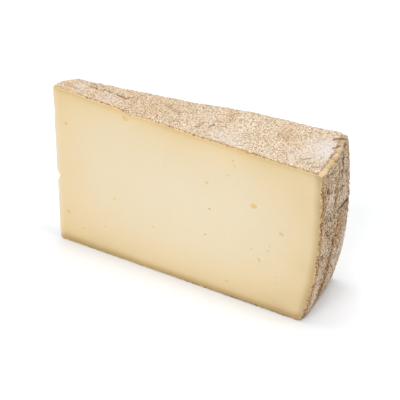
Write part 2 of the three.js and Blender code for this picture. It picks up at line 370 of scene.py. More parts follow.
def cut_points(eyes):
    """Points inside the outline, for one cut face."""
    rows = []
    travelled = np.concatenate([[0], np.linalg.norm(np.diff(fine_outline, axis=0), axis=1).cumsum()])
    for depth, step in DEPTH_ROWS:
        picks = np.searchsorted(travelled, np.arange(0, travelled[-1], step))
        inner = fine_outline[picks] - depth * fine_out[picks]
        gap, _ = nearest(inner, fine_outline)
        rows.append(inner[gap > 0.97 * depth])
    columns = np.arange(0, LENGTH, GRID)
    lines = np.arange(0, TIP_HEIGHT, GRID * GRID_ROW_SHARE)
    grid = np.array([(x + GRID / 2 * (k % 2), z) for k, z in enumerate(lines) for x in columns])
    inside = (grid[:, 0] > GRID_TIP_GAP) & (grid[:, 0] < LENGTH)
    gap, number = nearest(grid, fine_outline)
    inward = ((fine_outline[number] - grid) * fine_out[number]).sum(1) > 0
    rows.append(grid[inside & inward & (gap > DEPTH_ROWS[-1][0] + GRID_GAP)])
    points = np.concatenate(rows)
    for eye in eyes:
        points = points[eye_distance(points, eye) > EYE_CLEARANCE]
    for k, eye in enumerate(eyes):
        rings = eye_rings(eye)
        for other in eyes[:k]:
            rings = rings[eye_distance(rings, other) > RING_CLEARANCE]
        points = np.concatenate([points, rings])
    gap, _ = nearest(points, fine_outline)
    return points[gap > RIM_CLEARANCE]


def cut_face(rim, eyes, first):
    """Inner points (x, z) of a cut face and its triangles; inner points are numbered from first."""
    inner = cut_points(eyes)
    cloud = np.concatenate([outline, inner])
    names = np.concatenate([rim, first + np.arange(len(inner))])
    result = delaunay_2d_cdt([Vector(p) for p in cloud], [], [list(range(len(outline)))], 1, 1e-7)
    number = [names[ids[0]] for ids in result[3]]
    triangles = [tuple(int(number[corner]) for corner in face) for face in result[2]]
    return inner, triangles


near_inner, near_faces = cut_face(near_rim, NEAR_EYES, len(shell_which))
far_eye_list = far_eyes()
far_inner, far_faces = cut_face(far_rim, far_eye_list, len(shell_which) + len(near_inner))
far_faces = [face[::-1] for face in far_faces]
print(len(near_faces), "and", len(far_faces), "triangles in the cut faces")

# %% [markdown]
# ## What every point knows
# Relief and colour both follow the form: how deep a point lies under the rind, whether it is inside an
# eye, how close it is to a furrow. Each of these is worked out once and stored on the points as a named
# attribute, which Geometry Nodes and the materials both read. Doing it here keeps the node trees short.

# %% Furrows, streaks and patches of the rind
# On the top a place is (x, y), and on the heel it is (y, z), all in millimetres. Each stroke is a line of
# places, then its width and its strength.
TOP_FURROWS = [
    ([(15, 2), (17, 2.2), (18.5, 2.1)], 0.4, 0.8),
    ([(20, 2.1), (21.5, 2.8), (23.5, 2.5), (25, 1.8)], 0.4, 0.85),
    ([(28, 1.8), (30.5, 1.3), (32.5, 0.7), (33.5, 1.5)], 0.5, 0.9),
    ([(34.5, 2.3), (35.5, 2.9)], 0.4, 0.6),
    ([(49.5, 4), (53.5, 2.6), (58, 0)], 0.6, 0.4),
    ([(73.5, -3.7), (75, -1.4)], 0.4, 0.8),
    ([(68, -5.7), (69.5, -4.7), (70, -1.5)], 0.45, 0.6),
    ([(78, -1.2), (80, -0.8)], 0.4, 0.5),
    ([(118, -9.7), (119, -9), (121.5, -7)], 0.35, 0.6),
    ([(121.5, -10.6), (123, -10.8), (124, -9)], 0.35, 0.6),
    ([(124, -13.8), (126, -12.4), (128, -11)], 0.35, 0.7),
    ([(124.8, 10.6), (126.1, 12.2), (128.2, 12.8), (129.3, 13.4)], 0.7, 1.0),
    ([(127, 4.2), (128.1, 5.6), (128.8, 6.8)], 0.6, 1.0),
    ([(130.4, 8.5), (130.3, 11)], 0.45, 0.8),
    ([(128.6, -1), (128.4, -4)], 0.35, 0.7),
    ([(128.5, -8.8), (128.8, -11.2)], 0.35, 0.7),
]
HEEL_FURROWS = [
    ([(18, 45), (13.5, 46.3), (9.6, 47.8), (7, 48.2)], 1.0, 1.0),
    ([(7, 48.2), (2.7, 49.4), (-1, 50.9)], 0.7, 0.6),
    ([(18, 40.4), (12.5, 42.1)], 0.7, 0.7),
    ([(-4, 49.1), (-4.3, 50.3)], 0.8, 0.8),
    ([(-7.9, 50.7), (-8.1, 52)], 0.8, 0.7),
    ([(-12.8, 52.2), (-13, 53)], 0.8, 0.7),
    ([(-17, 53), (-18, 54.5)], 0.8, 0.7),
    ([(-3.1, 57.5), (-3.1, 54)], 0.9, 0.8),
    ([(-11.9, 68.8), (-11.5, 66.8)], 0.9, 0.8),
    ([(-3.2, 63), (-3, 61.5)], 0.8, 0.7),
    ([(7.6, 74), (6.5, 71.9), (7.4, 68.6)], 0.9, 0.9),
    ([(5.6, 66.8), (6, 65)], 0.9, 0.8),
    ([(13.4, 61), (10.7, 64.1)], 0.8, 0.5),
    ([(-6, 42.5), (-8, 41.5), (-11.4, 45.5)], 0.8, 0.7),
    ([(-3.1, 36.6), (-1.5, 33)], 1.0, 0.9),
    ([(-2, 30.5), (-2.9, 26.7), (-2.7, 21)], 1.0, 0.9),
    ([(-2.7, 19), (-2, 15.2), (-3.3, 9.8), (-4, 4)], 0.9, 0.7),
]
HEEL_LIGHT = [
    ([(-17.7, 57), (-11.5, 59), (-7.2, 61)], 1.3, 0.8),
    ([(4.3, 52.9), (11.2, 52.4), (9.4, 58), (9, 63)], 1.4, 0.8),
    ([(-6, 64), (-7, 58)], 1.2, 0.6),
    ([(3.5, 73), (3.5, 69)], 1.0, 0.6),
    ([(-16, 46.9), (-13.7, 41), (-12.5, 36)], 1.5, 0.6),
    ([(14, 29), (15.7, 23.4), (17.6, 17.5), (15.6, 13.8), (12, 8)], 2.6, 0.8),
    ([(9, 24), (8.6, 16.2), (4, 8)], 2.0, 0.8),
    ([(-13.5, 24), (-12.7, 15), (-11, 6)], 2.2, 0.8),
]
HEEL_OCHRE = [
    ([(2.2, 73), (1.6, 68.9), (0.4, 65.7), (-1.6, 62), (-0.7, 57)], 0.8, 0.8),
    ([(2.2, 40.5), (8, 34), (2.7, 34.3), (-0.7, 33.3)], 2.2, 0.6),
    ([(-4, 40), (2, 42), (9, 44)], 3.0, 0.4),
    ([(-6, 28), (-5, 21), (-5.5, 12), (-7, 4)], 1.8, 0.6),
    ([(-3.1, 36), (-1.5, 28), (-0.5, 19), (-3.3, 8)], 1.5, 0.5),
    ([(-15, 70), (-15.5, 58)], 1.2, 0.5),
]
# Each patch is a place, a radius and a strength
TOP_WHITE = [
    ((11.5, 0.5), 3, 0.8), ((26, -1.3), 4.5, 0.6), ((73, 0.3), 1.5, 0.8), ((80, -7.5), 5, 0.5),
    ((87, -9), 5, 0.5), ((125.5, 2), 4, 0.8), ((124, 7), 4.5, 0.7), ((126, -4), 4, 0.8),
    ((120, 3), 6, 0.35), ((118, -4), 8, 0.35),
]
TOP_BROWN = [
    ((6.5, -1.2), 2.2, 0.9), ((48, 3), 9, 0.5), ((79, 8.4), 4, 0.6), ((105, 6), 5, 0.7),
    ((111, 2), 5, 0.6), ((25, 0), 36, 0.5),
]


def on_line(places, line, width):
    """1 on a line of places, falling to 0 within about twice its width."""
    closest = np.full(len(places), np.inf)
    for a, b in zip(np.array(line[:-1], float), np.array(line[1:], float)):
        t = np.clip(((places - a) @ (b - a)) / ((b - a) @ (b - a)), 0, 1)
        closest = np.minimum(closest, np.linalg.norm(places - a - t[:, None] * (b - a), axis=1))
    return np.exp(-((closest / width) ** 2))


def strokes(places, table):
    """1 on the lines of a table and 0 away from them, for places."""
    return np.clip(sum(strength * on_line(places, line, width) for line, width, strength in table), 0, 1)


def patches(places, table):
    """The sum of soft round patches at places."""
    total = np.zeros(len(places))
    for middle, radius, strength in table:
        total += strength * np.exp(-((np.linalg.norm(places - middle, axis=1) / radius) ** 2))
    return total


print(len(TOP_FURROWS) + len(HEEL_FURROWS), "furrows and cracks in the rind")

# %% [markdown]
# ## How dry the paste is
# Paste dries from its skin inwards, so it is palest in the middle and yellow under the rind. Each side
# of the wedge dried in its own way: the base and the heel most, the cut tip least. Along the tip's own
# edge a pale strip is painted highlight, where the edge catches the light. The base's share is partly
# painted shade too, which darkens the lower part of the cut faces. One number for dryness, one for the
# ochre tint and one for each side's share say all of this, and a few soft patches make it as uneven as
# the real one.

# %% How dry the paste is
# For the tip, base, heel and top: how much the paste dried in the long run, over how many mm, and the
# same for the thin layer right under the rind
# The base's entry is partly real drying and partly painted shade, which darkens the lower part of the cut
# faces
DRYNESS = [(0.21, 25, 0.0, 6), (0.47, 16.2, 0.55, 5), (0.38, 20.4, 0.58, 5.2), (0.38, 13.7, 0.156, 3.5)]
# Places (x, z) that dried more or less than their distance to the rind says, with a radius and an amount
UNEVEN = [
    ((5, 75), 7, -0.03), ((6, 6), 9, -0.09), ((36, 77), 6, -0.06), ((62, 76), 14, 0.08),
    ((126, 76), 9, -0.14), ((124, 3), 7, -0.25), ((130, 70), 5, -0.13), ((130, 58), 6, -0.09),
    ((122.5, 30), 5, 0.08),
]
# How strong the painted highlight along the tip's edge is, and how far it reaches in mm
TIP_EDGE_HIGHLIGHT, TIP_HIGHLIGHT_REACH = 0.18, 3.2
LINE_WIDTH = [0.3, 0.6, 0.9, 0.5]
OCHRE_DEPTH = 3.0
TIP_OCHRE = 0.35
SHARE_REACH = 1.5


def dryness(flat_points):
    """0 in the middle of the paste and 1 against the rind, for points (x, z) of the side view."""
    total = np.full(len(flat_points), -0.05)
    for samples, (amount, reach, thin, depth) in zip(part_samples, DRYNESS):
        gap, _ = nearest(flat_points, samples)
        total += amount * np.exp(-gap / reach) + thin * (1 - smooth(gap, 0, depth))
    from_tip, _ = nearest(flat_points, part_samples[TIP])
    # Painted highlight: the paste is kept pale along the tip's edge, where the edge catches the light
    total -= TIP_EDGE_HIGHLIGHT * (1 - smooth(from_tip, 0, TIP_HIGHLIGHT_REACH))
    return np.clip(total + patches(flat_points, UNEVEN), 0, 1.2)


def ochre_tint(flat_points):
    """1 against the base and the top, where the paste is ochre as well as dry, and less near the tip."""
    from_tip, from_base, _, from_top = [nearest(flat_points, samples)[0] for samples in part_samples]
    base, top = [np.exp(-((gap / OCHRE_DEPTH) ** 2)) for gap in (from_base, from_top)]
    # Painted highlight: the ochre tint fades out along the tip's edge as well
    tip = TIP_OCHRE * (1 - smooth(from_tip, 4, 24)) * smooth(from_tip, 0, TIP_HIGHLIGHT_REACH)
    return np.clip(base + top * (1 - smooth(flat_points[:, 0], 100, 125)) + tip, 0, 1)


def part_shares(flat_points):
    """How much each point belongs to the tip, base, heel and top, by which is nearest."""
    gaps = np.array([nearest(flat_points, samples)[0] for samples in part_samples])
    share = np.exp(-gaps / SHARE_REACH) + 1e-9
    return share / share.sum(0)


def line_darkness(flat_points, shares):
    """How much darker the rind's line is: most along the foot near the heel, a little up the heel."""
    x, z = flat_points.T
    return shares[BASE] * smooth(x, 60, 90) + 0.4 * shares[HEEL] * (1 - smooth(z, 55, 68))


print("dryness 0, 5 and 20 mm above the base:", dryness(np.array([(70, 0), (70, 5), (70, 20)])).round(2))

# %% [markdown]
# ## Breaks and wear
# A break in the rind is a place where a crumb came away with the knife. Two show on the real wedge:
# one along the near top edge, and one in the upright edge of the tip. The near corner of the heel's
# foot is worn round. All three are taken from the form by moving points inwards, before any finer
# relief is added.

# %% Breaks and wear, in millimetres
CHIP = {"start": 34.6, "deepest": 36.2, "end": 50.0, "drop": 1.25, "reach": 1.3}
NICK = {"top": 37.2, "deepest": 33.4, "bottom": 31.9, "depth": 1.25, "reach": 1.5}
FOOT_WEAR = {"reach": 2.2, "back": 0.9, "up": 0.5}
TIP_MARK = {"middle": 68.5, "depth": 0.3}


def chip_drop(points):
    """How far the rind is broken down along the near top edge."""
    x, y, z = points.T
    profile = smooth(x, CHIP["start"], CHIP["deepest"]) * (1 - smooth(x, CHIP["deepest"], CHIP["end"])) ** 1.5
    from_edge = y + half_width(x)
    edge = np.exp(-((from_edge / CHIP["reach"]) ** 2))
    return CHIP["drop"] * profile * edge * smooth(z, 72, 79)


def nick_depth(points):
    """How far the tip's near edge is broken in."""
    x, y, z = points.T
    profile = smooth(z, NICK["bottom"], NICK["deepest"]) * (1 - smooth(z, NICK["deepest"], NICK["top"]))
    small = TIP_MARK["depth"] * (1 - smooth(np.abs(z - TIP_MARK["middle"]), 0.5, 2.2))
    from_edge = np.hypot(x, y + TIP_WIDTH / 2)
    return (NICK["depth"] * profile + small) * np.exp(-((from_edge / NICK["reach"]) ** 2))


def foot_wear(points):
    """How much of the wear at the near corner of the heel's foot a point has, from 0 to 1."""
    x = LENGTH - FOOT_SETBACK - 0.6
    corner = (x, -half_width(x), 0)
    return np.exp(-((np.linalg.norm(points - corner, axis=1) / FOOT_WEAR["reach"]) ** 2))


print("breaks of", CHIP["drop"], "and", NICK["depth"], "mm")

# %% [markdown]
# ## Put the points together
# The shell comes first, then the two cut faces, and every column of numbers is laid down in that same
# order. The relief grows to full height on the rind and dies away over the first millimetres of a cut
# face, which in turn gets a slow wave of its own, as a wire or a knife leaves it.

# %% Put the points together
EDGE_BLEND = 2.5
EYE_SHARE, EYE_LIP = 0.6, 0.04
LEAST_HEIGHT = 0.3
FAR_EDGE_GAP = 0.8
columns = {}


def lay(**batch):
    """Adds a batch of points to every column."""
    for name, numbers in batch.items():
        columns.setdefault(name, []).append(numbers)


def lay_colours(flat_points, which=slice(None)):
    """The columns that follow from a place in the side view alone."""
    shares = part_shares(flat_points)
    lay(
        rind_depth=nearest(flat_points, rind_samples)[0][which],
        dry=dryness(flat_points)[which],
        line_width=(LINE_WIDTH @ shares)[which],
        at_top=shares[TOP][which],
        ochre=ochre_tint(flat_points)[which],
        foot=line_darkness(flat_points, shares)[which],
    )


flat_shell = outline[shell_which]
shell_out = outline_out[shell_which]
shell_part = outline_part[shell_which]
shell_points = place(*flat_shell.T, shell_across)
count_shell = len(shell_points)
far_allowance = FAR_EDGE_GAP * (shell_across > 0)
lay_colours(outline, shell_which)
lay(
    points=shell_points,
    relief_way=np.stack([shell_out[:, 0], SLOPE * shell_across * shell_out[:, 0], shell_out[:, 1]], axis=1),
    relief=np.where(shell_part == TIP, 0.0, 1.0),
    cut_way=np.zeros((count_shell, 3)),
    cut=np.zeros(count_shell),
    eye=np.zeros(count_shell),
    ceiling=np.where(shell_part == BASE, 0.0, np.clip(flat_shell[:, 1] - LEAST_HEIGHT, 0, 5)),
    from_cut=(1 - np.abs(shell_across)) * half_width(flat_shell[:, 0]) + far_allowance,
)
print("the shell's points, in mm, run from", shell_points.min(0).round(1), "to", shell_points.max(0).round(1))

# %% The two cut faces
for inner, side, eyes in [(near_inner, -1, NEAR_EYES), (far_inner, 1, far_eye_list)]:
    face_way = np.array([-SLOPE, side, 0]) / np.hypot(SLOPE, 1)
    edge_gap, number = nearest(inner, fine_outline)
    hollow = np.zeros(len(inner))
    inside = np.zeros(len(inner))
    for one in eyes:
        away = eye_distance(inner, one)
        hollow += EYE_SHARE * one[5] * np.clip(1 - away**2.4, 0, None) ** 0.6
        hollow -= EYE_LIP * np.exp(-(((away - 1.12) / 0.12) ** 2))
        inside = np.maximum(inside, 1 - smooth(away, 0.75, 1.1))
    out = fine_out[number]
    blended = np.clip(1 - edge_gap / EDGE_BLEND, 0, 1) ** 2
    lay_colours(inner)
    lay(
        points=place(*inner.T, np.full(len(inner), side, float)) - hollow[:, None] * face_way,
        relief_way=np.stack([out[:, 0], side * SLOPE * out[:, 0], out[:, 1]], axis=1),
        relief=np.where(fine_part[number] == TIP, 0, blended),
        cut_way=np.tile(face_way, (len(inner), 1)),
        cut=smooth(edge_gap, 0.2, EDGE_BLEND),
        eye=inside,
        ceiling=np.clip(inner[:, 1] - LEAST_HEIGHT, 0, 5),
        from_cut=np.zeros(len(inner)),
    )

values = {name: np.concatenate(batches) for name, batches in columns.items()}
points = values.pop("points")
ways = {name: values.pop(name) for name in ("relief_way", "cut_way")}
print(len(points), "points with", len(values), "numbers each")

# %% Take the breaks out
drop = chip_drop(points)
dent = nick_depth(points)
wear = foot_wear(points)
back, up = FOOT_WEAR["back"], FOOT_WEAR["up"]
points = points - np.stack([-dent, -0.3 * dent, drop], axis=1)
points = points + wear[:, None] * (-back, 0, up)
values["chip"] = drop / CHIP["drop"]
print("deepest break, in mm:", round(max(drop.max(), dent.max()), 2))

# %% [markdown]
# ## Marks of the rind
# Only the shell carries these. A place off the top, or off the heel, is sent far away first, so that no
# stroke of the other face reaches it. `from_rim` says how far a point is from the heel's rim, over the
# top on one side and down the heel on the other, so that one width draws the bare ridge on both.

# %% Marks of the rind
NOWHERE = 999.0
OFF_THE_RIND = 50.0
RIDGE_WIDTH = 2.3


def on_shell_only(shell_values, elsewhere=0.0):
    return np.concatenate([shell_values, np.full(len(points) - count_shell, elsewhere)])


top_places = np.where((shell_part == TOP)[:, None], shell_points[:, :2], NOWHERE)
heel_places = np.where((shell_part == HEEL)[:, None], shell_points[:, 1:], NOWHERE)
marks = {
    "furrow": strokes(top_places, TOP_FURROWS) + strokes(heel_places, HEEL_FURROWS),
    "white": patches(top_places, TOP_WHITE) + strokes(heel_places, HEEL_LIGHT),
    "brown": patches(top_places, TOP_BROWN) + strokes(heel_places, HEEL_OCHRE),
}
heel = np.where(flat_shell[:, 0] > LENGTH / 2, smooth(HEEL_HEIGHT - flat_shell[:, 1], 0.1, 1.3), 0)
heel[shell_part == BASE] = 1
marks["heel"] = heel
for name, mark in marks.items():
    values[name] = on_shell_only(mark)
# On the far side the ridge is 0.7 mm wider over the top. Down the heel it is 1.2 mm wide, and 2.2 there.
on_the_top = LENGTH - flat_shell[:, 0] + 0.1 - 0.7 * smooth(shell_across, 0.2, 0.6)
width_down_heel = 1.2 + smooth(shell_across, -0.7, 0.5)
down_the_heel = (HEEL_HEIGHT - flat_shell[:, 1]) * RIDGE_WIDTH / width_down_heel
values["from_rim"] = on_shell_only(np.maximum(on_the_top, down_the_heel), OFF_THE_RIND)
faces = shell_faces + near_faces + far_faces
is_rind = [bool(part != TIP) for part in shell_face_part]
is_rind += [False] * (len(near_faces) + len(far_faces))
print(len(points), "points and", len(faces), "triangles in the whole wedge")

# %% [markdown]
# ## The mesh
# Blender's own mesh is filled from the lists in one go, and each attribute goes on its points. The
# normals are checked once: on a closed body, the sum of the small volumes under its faces is positive
# when the faces look outwards.

# %% Make the wedge's mesh
def build_mesh(name):
    mesh = bpy.data.meshes.new(name)
    mesh.from_pydata(to_frame(points).tolist(), [], faces)
    for key, value in values.items():
        mesh.attributes.new(key, "FLOAT", "POINT").data.foreach_set("value", value.astype(np.float32))
    for key, value in ways.items():
        flat = value.astype(np.float32).ravel()
        mesh.attributes.new(key, "FLOAT_VECTOR", "POINT").data.foreach_set("vector", flat)
    mesh.attributes.new("is_rind", "BOOLEAN", "FACE").data.foreach_set("value", is_rind)
    mesh.shade_smooth()
    return mesh


wedge_mesh = build_mesh("cheese_wedge")
corner = to_frame(points)[np.array(faces)]
volume = np.einsum("ij,ij->i", corner[:, 0], np.cross(corner[:, 1], corner[:, 2])).sum() / 6
print("volume, in cubic centimetres:", round(volume * 1e6, 1))

# %% [markdown]
# ## A shorter way to write nodes
# Geometry Nodes and materials are both trees of nodes, and many nodes, such as Math and Noise Texture,
# are the same in both. A small helper that adds a node, sets its inputs and links whatever comes from
# another node keeps the trees that follow readable. It holds the mixtures of nodes that come up again
# and again too: sums, dots in some of the cells of a Voronoi texture, and space stretched into fibres.

# %% A helper for node trees
FIBRE_LEAN = 0.4


class Tree:
    def __init__(self, nodes_and_links):
        self.tree = nodes_and_links

    def add(self, kind, settings=None, inputs=None):
        node = self.tree.nodes.new(kind)
        for name, value in (settings or {}).items():
            setattr(node, name, value)
        for name, value in (inputs or {}).items():
            if isinstance(value, bpy.types.NodeSocket):
                self.tree.links.new(value, node.inputs[name])
            else:
                node.inputs[name].default_value = value
        return node

    def math(self, operation, *values):
        inputs = dict(enumerate(values))
        return self.add("ShaderNodeMath", {"operation": operation}, inputs).outputs[0]

    def times(self, a, b):
        return self.math("MULTIPLY", a, b)

    def less(self, a, b):
        return self.math("SUBTRACT", a, b)

    def vector(self, operation, *values, scale=None):
        inputs = dict(enumerate(values))
        if scale is not None:
            inputs["Scale"] = scale
        return self.add("ShaderNodeVectorMath", {"operation": operation}, inputs).outputs[0]

    def noise(self, vector, scale, detail=2.0, roughness=0.5, distortion=0.0):
        """A smooth noise around 0.5, whose scale counts the waves in one unit of the vector."""
        inputs = {
            "Vector": vector, "Scale": scale, "Detail": detail,
            "Roughness": roughness, "Distortion": distortion,
        }
        return self.add("ShaderNodeTexNoise", None, inputs).outputs[0]

    def swing(self, *noise):
        """A noise around zero."""
        return self.less(self.noise(*noise), 0.5)

    def spread(self, noise, low, high):
        """A noise, which mostly runs from 0.3 to 0.7, stretched to run from low to high."""
        return self.remap(noise, 0.3, 0.7, low, high, "LINEAR")

    def cells(self, vector, scale):
        """The distance to the middle of the nearest cell, and a colour drawn at random for it."""
        node = self.add("ShaderNodeTexVoronoi", None, {"Vector": vector, "Scale": scale})
        return node.outputs["Distance"], node.outputs["Color"]

    def channel(self, colour, number):
        return self.add("ShaderNodeSeparateColor", None, {0: colour}).outputs[number]

    def cell_tone(self, vector, scale):
        """A number from 0 to 1, drawn at random for each cell."""
        _, drawn = self.cells(vector, scale)
        return self.channel(drawn, 0)

    def specks(self, vector, scale, share, size):
        """1 inside round dots, in a share of the cells and of a size in cells, and 0 elsewhere."""
        distance, drawn = self.cells(vector, scale)
        dot = self.remap(distance, size, size * 0.6)
        return self.times(dot, self.math("LESS_THAN", self.channel(drawn, 1), share))

    def fibres(self, vector, stretch):
        """A place, turned and squeezed so that a texture runs in fibres up the heel."""
        inputs = {"Vector": vector, "Angle": FIBRE_LEAN}
        turned = self.add("ShaderNodeVectorRotate", {"rotation_type": "X_AXIS"}, inputs)
        return self.vector("MULTIPLY", turned.outputs[0], (1.0, 1.0, 1 / stretch))

    def blend(self, share, a, b):
        """A number between a and b."""
        return self.add("ShaderNodeMix", {"data_type": "FLOAT"}, {0: share, 2: a, 3: b}).outputs[0]

    def total(self, *values):
        """The sum of numbers, each given alone or as (number, times)."""
        result = None
        for value in values:
            if isinstance(value, tuple):
                value = self.times(*value)
            result = value if result is None else self.math("ADD", result, value)
        return result

    def remap(self, value, old_low, old_high, new_low=0.0, new_high=1.0, kind="SMOOTHSTEP"):
        inputs = {0: value, 1: old_low, 2: old_high, 3: new_low, 4: new_high}
        return self.add("ShaderNodeMapRange", {"interpolation_type": kind}, inputs).outputs[0]

    def mix(self, share, a, b, blend="MIX"):
        settings = {"data_type": "RGBA", "blend_type": blend, "clamp_factor": True}
        return self.add("ShaderNodeMix", settings, {0: share, 6: a, 7: b}).outputs[2]

    def over(self, colour, cover, share, strength=1.0):
        """A colour with another one over it, where the share is high and as strong as is said."""
        return self.mix(share if strength == 1.0 else self.times(share, strength), colour, cover)

    def tinted(self, colour, tint):
        return self.mix(1.0, colour, tint, "MULTIPLY")

    def ramp(self, value, stops):
        node = self.add("ShaderNodeValToRGB", None, {0: value})
        elements = node.color_ramp.elements
        while len(elements) < len(stops):
            elements.new(0.5)
        for element, (position, colour) in zip(elements, stops):
            element.position = position
            element.color = colour
        return node.outputs[0]


print("helpers:", [name for name in vars(Tree) if not name.startswith("_")])

# %% Colours as they show on screen
def srgb(red, green, blue):
    """A colour given as it shows on screen, 0 to 255, as the linear colour that a shader takes."""
    channel = np.array([red, green, blue]) / 255
    linear = np.where(channel <= 0.04045, channel / 12.92, ((channel + 0.055) / 1.055) ** 2.4)
    return (*linear.tolist(), 1.0)


print("paste in the middle, as linear colour:", [round(c, 2) for c in srgb(239, 225, 197)])

# %% [markdown]
# ## The paste
# The paste is pale ivory in the middle of the face, and turns yellower, then ochre, towards the rind,
# where it dried. The colour follows the stored dryness, shifted a little by a soft noise so that the
# bands aren't even. The outermost part, 0.3 to 0.9 mm wide, is the rind itself seen from its cut side:
# crumbs of ochre and brown, darkest along the foot, and pale under the top. Light enters cheese and
# comes out nearby, which softens the eyes, so the shader has some subsurface scattering, set on its own
# sockets because it is the same all over.

# %% What both materials need
def object_mm(tree):
    """Object coordinates, in millimetres."""
    place_node = tree.add("ShaderNodeTexCoord")
    return tree.vector("SCALE", place_node.outputs["Object"], scale=1 / MM)


def axis(tree, spot, number):
    """One coordinate of a place: 0 runs along the wedge and 1 across it, from its middle."""
    return tree.add("ShaderNodeSeparateXYZ", None, {0: spot}).outputs[number]


def to_heel(tree, spot):
    """0 on the tip's half of the wedge and 1 on the heel's."""
    return tree.remap(axis(tree, spot, 0), -5, 25)


def attribute(tree, name):
    return tree.add("ShaderNodeAttribute", {"attribute_name": name}).outputs["Fac"]


def principled(material, linked, constants):
    """Sets up a material's shader: some inputs follow nodes, and the others are the same all over."""
    shader = material.node_tree.nodes["Principled BSDF"]
    for name, socket in linked.items():
        material.node_tree.links.new(socket, shader.inputs[name])
    for name, value in constants.items():
        shader.inputs[name].default_value = value


def new_material(name):
    material = bpy.data.materials.new(name)
    material.use_nodes = True
    return material, Tree(material.node_tree)


print("textures are measured in mm, so a noise of scale 2 has waves of half a mm")

# %% The colours of the paste
# The paste's run from moist to dry, and those of the rind's cut line from dark to light. A colour that
# multiplies another one leaves it alone where it is white.
NO_CHANGE = (1.0, 1.0, 1.0, 1)
PASTE_STOPS = [
    (0.01, (0.853, 0.736, 0.534, 1)),
    (0.13, (0.842, 0.703, 0.472, 1)),
    (0.24, (0.841, 0.677, 0.425, 1)),
    (0.36, (0.813, 0.644, 0.376, 1)),
    (0.6, (0.715, 0.547, 0.296, 1)),
    (0.8, (0.62, 0.46, 0.245, 1)),
    (1.0, (0.55, 0.39, 0.2, 1)),
]
OCHRE = (1.0, 0.935, 0.79, 1)
# Painted light: the ochre inside the eyes stands in for light bounced and scattered in the hollow
EYE_BOUNCE_LIGHT = srgb(238, 208, 130)
LINE_STOPS = [
    (0.05, srgb(112, 78, 44)),
    (0.2, srgb(184, 147, 95)),
    (0.5, srgb(208, 175, 122)),
    (0.85, srgb(230, 200, 147)),
]
LINE_AT_TOP = srgb(238, 208, 164)
LINE_AT_HEEL_END = srgb(224, 194, 148)
# Painted shade: toward the heel end the paste is painted a little darker, for how the light falls there;
# where it begins and is full, in mm, and how dark it gets
HEEL_END = (20, 58)
HEEL_END_SHADE = 0.965
print(len(PASTE_STOPS), "colours from moist to dry paste, and", len(LINE_STOPS), "along the rind's line")

# %% The material of the paste
# Red light travels furthest inside the paste, up to 3 mm
PASTE_SHADER = {
    "IOR": 1.42, "Specular IOR Level": 0.35,
    "Subsurface Weight": 0.25, "Subsurface Radius": (1.0, 0.7, 0.35), "Subsurface Scale": 0.003,
}


def paste_colour(tree, spot):
    """The paste with its dryness, ochre tint and fine grain, a painted shade toward the heel end, and painted
    light in the eyes.
    """
    drift = tree.swing(spot, 0.06, 3)
    dry = tree.times(attribute(tree, "dry"), tree.total(1.0, (drift, 0.3)))
    colour = tree.ramp(tree.total(dry, (drift, 0.08)), PASTE_STOPS)
    tint = tree.mix(attribute(tree, "ochre"), NO_CHANGE, OCHRE)
    grain = tree.remap(tree.noise(spot, 2.2, 4, 0.6), 0.35, 0.65, 0.985, 1.015, "LINEAR")
    # Painted shade, growing darker toward the heel end
    heel_shade = tree.remap(axis(tree, spot, 0), *HEEL_END, 1.0, HEEL_END_SHADE)
    for factor in (tint, grain, heel_shade):
        colour = tree.tinted(colour, factor)
    # Painted light in the eyes, laid over the paste's colour
    return tree.over(colour, EYE_BOUNCE_LIGHT, attribute(tree, "eye"), 0.85)


def cut_line_colour(tree, spot):
    """The rind seen from its cut side."""
    tone = tree.total(tree.cell_tone(spot, 1.6), (attribute(tree, "foot"), -0.3))
    under_top = tree.mix(to_heel(tree, spot), LINE_AT_TOP, LINE_AT_HEEL_END)
    at_top = tree.remap(attribute(tree, "at_top"), 0.3, 0.7)
    return tree.over(tree.ramp(tone, LINE_STOPS), under_top, at_top)


def paste_material():
    material, tree = new_material("ivory_paste")
    spot = object_mm(tree)
    ragged = tree.spread(tree.noise(spot, 0.8, 3, 0.6), -0.4, 0.4)
    share = tree.math("DIVIDE", attribute(tree, "rind_depth"), attribute(tree, "line_width"))
    on_line = tree.remap(tree.math("ADD", share, ragged), 1.1, 0.6)
    colour = tree.over(paste_colour(tree, spot), cut_line_colour(tree, spot), on_line)
    roughness = tree.spread(tree.noise(spot, 1.3, 3), 0.42, 0.6)
    fine = tree.noise(spot, 2.4, 4, 0.6)
    bump = tree.add("ShaderNodeBump", None, {"Strength": 0.1, "Distance": 0.0002, "Height": fine})
    linked = {"Base Color": colour, "Roughness": roughness, "Normal": bump.outputs[0]}
    principled(material, linked, PASTE_SHADER)
    return material


paste = paste_material()
print("made", paste.name)

# %% [markdown]
# ## The rind
# A natural rind is layers: a tan crust, brown pits and furrows where it shrank, and a whitish bloom of
# mould on what stands out. The relief and the colour have to agree, so the relief's own heights, which
# Geometry Nodes stores on the points, steer the colours too. The grain is smaller than the mesh can
# carry: each cell of a Voronoi texture draws a tone of its own, and small dark specks lie between. The
# heel is greyer and rougher than the top, and its grain is drawn out into fibres that lean a little.

# %% The crust of the top
class Crust:
    """The noises and the stored marks that more than one part of the rind follows."""
    def __init__(self, tree):
        self.spot = object_mm(tree)
        self.wide = tree.swing(self.spot, 0.11, 3, 0.6)
        self.middle = tree.swing(self.spot, 0.45, 3, 0.6)
        self.fine = tree.noise(self.spot, 3.6, 3, 0.7)
        self.height = tree.less(attribute(tree, "height"), 0.5)
        self.heel, self.white, self.brown = [attribute(tree, name) for name in ("heel", "white", "brown")]
        self.furrow = attribute(tree, "furrow")


